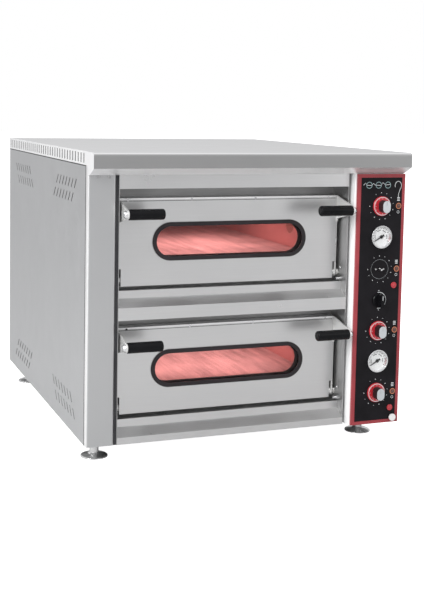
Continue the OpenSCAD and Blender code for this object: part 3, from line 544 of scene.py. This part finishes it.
def knob_print(name):
    """A knob's marked rim, the pale cap on its handle and the line on the cap."""
    y = front_of(f"{name}_dial") - PRINT_GAP
    z = DIAL_Z[name]
    rim = Flat(f"{name}_rim", y)
    rim.arc(CONTROL_X, z, DIAL_R - 2.4 * MM, width=1.6 * MM)
    rim.ticks(CONTROL_X, z, DIAL_R - 8 * MM, SCALE_START, SCALE_END, 11,
              length=3.4 * MM, width=0.7 * MM)
    rim.build(white_ink, f"{name}_knob")

    low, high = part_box(f"{name}_handle")
    inset = 0.4 * MM
    half_w = (high[0] - low[0]) / 2 - inset
    rise = (high[2] - low[2]) / 2 - inset - half_w
    outline = [(CONTROL_X + half_w * math.cos(a), z + rise + half_w * math.sin(a))
               for a in turn(0, 180, 16)]
    outline += [(across, 2 * z - up) for across, up in reversed(outline)]
    cap = Flat(f"{name}_cap", low[1] - PRINT_GAP)
    cap.loop(outline)
    cap.build(pointer_cap, f"{name}_knob")
    mark = Flat(f"{name}_mark", low[1] - 2 * PRINT_GAP)
    mark.stroke([(CONTROL_X, z + 3 * MM), (CONTROL_X, z + 14 * MM)], width=1.2 * MM)
    mark.build(grey_ink, f"{name}_knob")


def switch_print():
    """The line on the main switch's knob and the arc on the panel round it."""
    y = front_of("main_switch_knob") - PRINT_GAP
    mark = Flat("main_switch_mark", y)
    mark.stroke([(CONTROL_X, SWITCH_Z + 3 * MM), (CONTROL_X, SWITCH_Z + 15 * MM)], width=1.6 * MM)
    mark.build(white_ink, "main_switch")
    ring = Flat("main_switch_ring", OVERLAY_Y - PRINT_GAP)
    ring.arc(CONTROL_X, SWITCH_Z, 22.5 * MM, 1.6 * MM, 100, -100, steps=32)
    ring.build(white_ink, "casing")


def skirt_shadow_and_seam_strips():
    """Dark lines on the left side: a painted shadow along the joint under the cover's skirt, and
    the joint line behind the rounded corner.
    """
    low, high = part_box("left_side_panel")
    x = low[0] - PRINT_GAP
    # the first strip is painted shadow under the skirt's overhang, the second the dark joint
    # behind the corner
    strips = [
        ((low[1], high[2] - 3 * MM), (high[1], high[2])),
        ((low[1], low[2]), (low[1] + 4 * MM, high[2])),
    ]
    points = []
    for (y0, z0), (y1, z1) in strips:
        points += [(x, y0, z0), (x, y1, z0), (x, y1, z1), (x, y0, z1)]
    thing = add_mesh("side_skirt_shadow_and_seam", points, [(0, 1, 2, 3), (4, 5, 6, 7)], trim_black)
    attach(thing, "casing")


def door_edge(deck):
    """A painted highlight along a door's top edge for the light off its top hem, a painted shade
    line in the crease under it, and its slotted screws.
    """
    low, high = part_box(f"{deck}_door_skin")
    left, right = low[0] + 4 * MM, high[0] - 4 * MM

    def band(name, drop, width, material):
        z = high[2] - drop
        piece = Flat(name, low[1] - PRINT_GAP)
        piece.stroke([(left, z), (right, z)], width)
        piece.build(material, f"{deck}_door")

    # a painted highlight along the top edge, and a painted shade line in the crease under it
    band(f"{deck}_door_hem_highlight", 2.2 * MM, 3 * MM, painted_hem_highlight)
    band(f"{deck}_door_crease_shade", 7.5 * MM, 1.4 * MM, dark_ink_and_shade)
    z = high[2] - 4.5 * MM
    heads = Flat(f"{deck}_door_screws", low[1] - 2 * PRINT_GAP)
    slots = Flat(f"{deck}_door_screw_slots", low[1] - 3 * PRINT_GAP)
    for part in (0.04, 0.32, 0.61, 0.96):
        x = low[0] + part * (high[0] - low[0])
        heads.disc(x, z, 3.2 * MM, steps=16)
        slots.stroke([(x - 2.4 * MM, z), (x + 2.4 * MM, z)], width=0.9 * MM)
    heads.build(chrome, f"{deck}_door")
    slots.build(dark_ink_and_shade, f"{deck}_door")


panel_print()
gauge_faces()
switch_print()
skirt_shadow_and_seam_strips()
for deck in DECKS:
    door_edge(deck)
for knob in KNOBS:
    knob_print(knob)


# ---------------------------------------------------------------- light, floor and camera

OVEN_MIDDLE = (0, 0, 0.4)
WHITE = (1.0, 1.0, 1.0, 1.0)


def area_light(name, place, aim, size, power):
    data = bpy.data.lights.new(name, "AREA")
    data.shape = "RECTANGLE"
    data.size, data.size_y = size
    data.energy = power
    lamp = add_object(name, data)
    lamp.location = place
    lamp.rotation_euler = (Vector(aim) - Vector(place)).to_track_quat("-Z", "Y").to_euler()


def chamber_light(deck):
    """A lamp under the chamber's roof, behind the window, that lights the stones."""
    low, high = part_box(f"{deck}_chamber")
    x, y, z = (low[0] + high[0]) / 2, low[1] + 0.26, high[2] - 30 * MM
    area_light(f"{deck}_chamber_light", (x, y, z), (x, y + 0.05, 0), size=(0.42, 0.4), power=1.1)


def world_light():
    """A white surround for the camera, and for the steel one that is darker low down."""
    world = bpy.data.worlds.new("studio")
    bpy.context.scene.world = world
    world.use_nodes = True
    tree = world.node_tree
    coords = tree.nodes.new("ShaderNodeTexCoord")
    split = tree.nodes.new("ShaderNodeSeparateXYZ")
    tree.links.new(coords.outputs["Generated"], split.inputs["Vector"])
    ramp = tree.nodes.new("ShaderNodeValToRGB")
    tree.links.new(split.outputs["Z"], ramp.inputs["Fac"])
    below, above = ramp.color_ramp.elements
    below.color = (0.62, 0.62, 0.63, 1.0)
    above.position = 0.6
    above.color = (0.9, 0.9, 0.91, 1.0)
    path = tree.nodes.new("ShaderNodeLightPath")
    mix = tree.nodes.new("ShaderNodeMix")
    mix.data_type = "RGBA"
    mix.inputs["B"].default_value = WHITE
    tree.links.new(ramp.outputs["Color"], mix.inputs["A"])
    tree.links.new(path.outputs["Is Camera Ray"], mix.inputs["Factor"])
    tree.links.new(mix.outputs["Result"], tree.nodes["Background"].inputs["Color"])
    tree.nodes["Background"].inputs["Strength"].default_value = 1.0


def floor():
    """A floor that the camera sees as pure white, but that lights the oven as a pale grey one."""
    half = 30.0
    corners = [(-half, -half, 0), (half, -half, 0), (half, half, 0), (-half, half, 0)]
    s = Shader("floor_white", grey(0.6), 0.8)
    s.set("Emission Color", WHITE)
    path = s.tree.nodes.new("ShaderNodeLightPath")
    s.link(path.outputs["Is Camera Ray"], s.bsdf.inputs["Emission Strength"])
    thing = add_mesh("floor", corners, [(0, 1, 2, 3)], s.material)


def camera():
    """The photo's camera, as it was fitted to the casing's corners."""
    place = (-1.1553, -3.1205, 0.9198)
    yaw, pitch, roll = (math.radians(a) for a in (20.144, 5.053, 0.956))
    ahead = Vector((math.sin(yaw) * math.cos(pitch), math.cos(yaw) * math.cos(pitch),
                    -math.sin(pitch)))
    right = Vector((math.cos(yaw), -math.sin(yaw), 0.0))
    up = right.cross(ahead)
    right, up = (math.cos(roll) * right + math.sin(roll) * up,
                 math.cos(roll) * up - math.sin(roll) * right)
    data = bpy.data.cameras.new("camera")
    data.sensor_width = 36.0
    data.lens = 65.28
    data.shift_x = 0.0438
    data.shift_y = -0.1645
    thing = add_object("camera", data)
    turned = Matrix((right, up, -ahead)).transposed().to_4x4()
    thing.matrix_world = Matrix.Translation(place) @ turned
    bpy.context.scene.camera = thing


bpy.context.scene.view_settings.view_transform = "Standard"
world_light()
area_light("key", (-3.4, -2.4, 2.6), OVEN_MIDDLE, size=(2.4, 2.4), power=160)
area_light("fill", (3.0, -3.4, 1.6), OVEN_MIDDLE, size=(2.0, 2.5), power=15)
for deck in DECKS:
    chamber_light(deck)
floor()
camera()
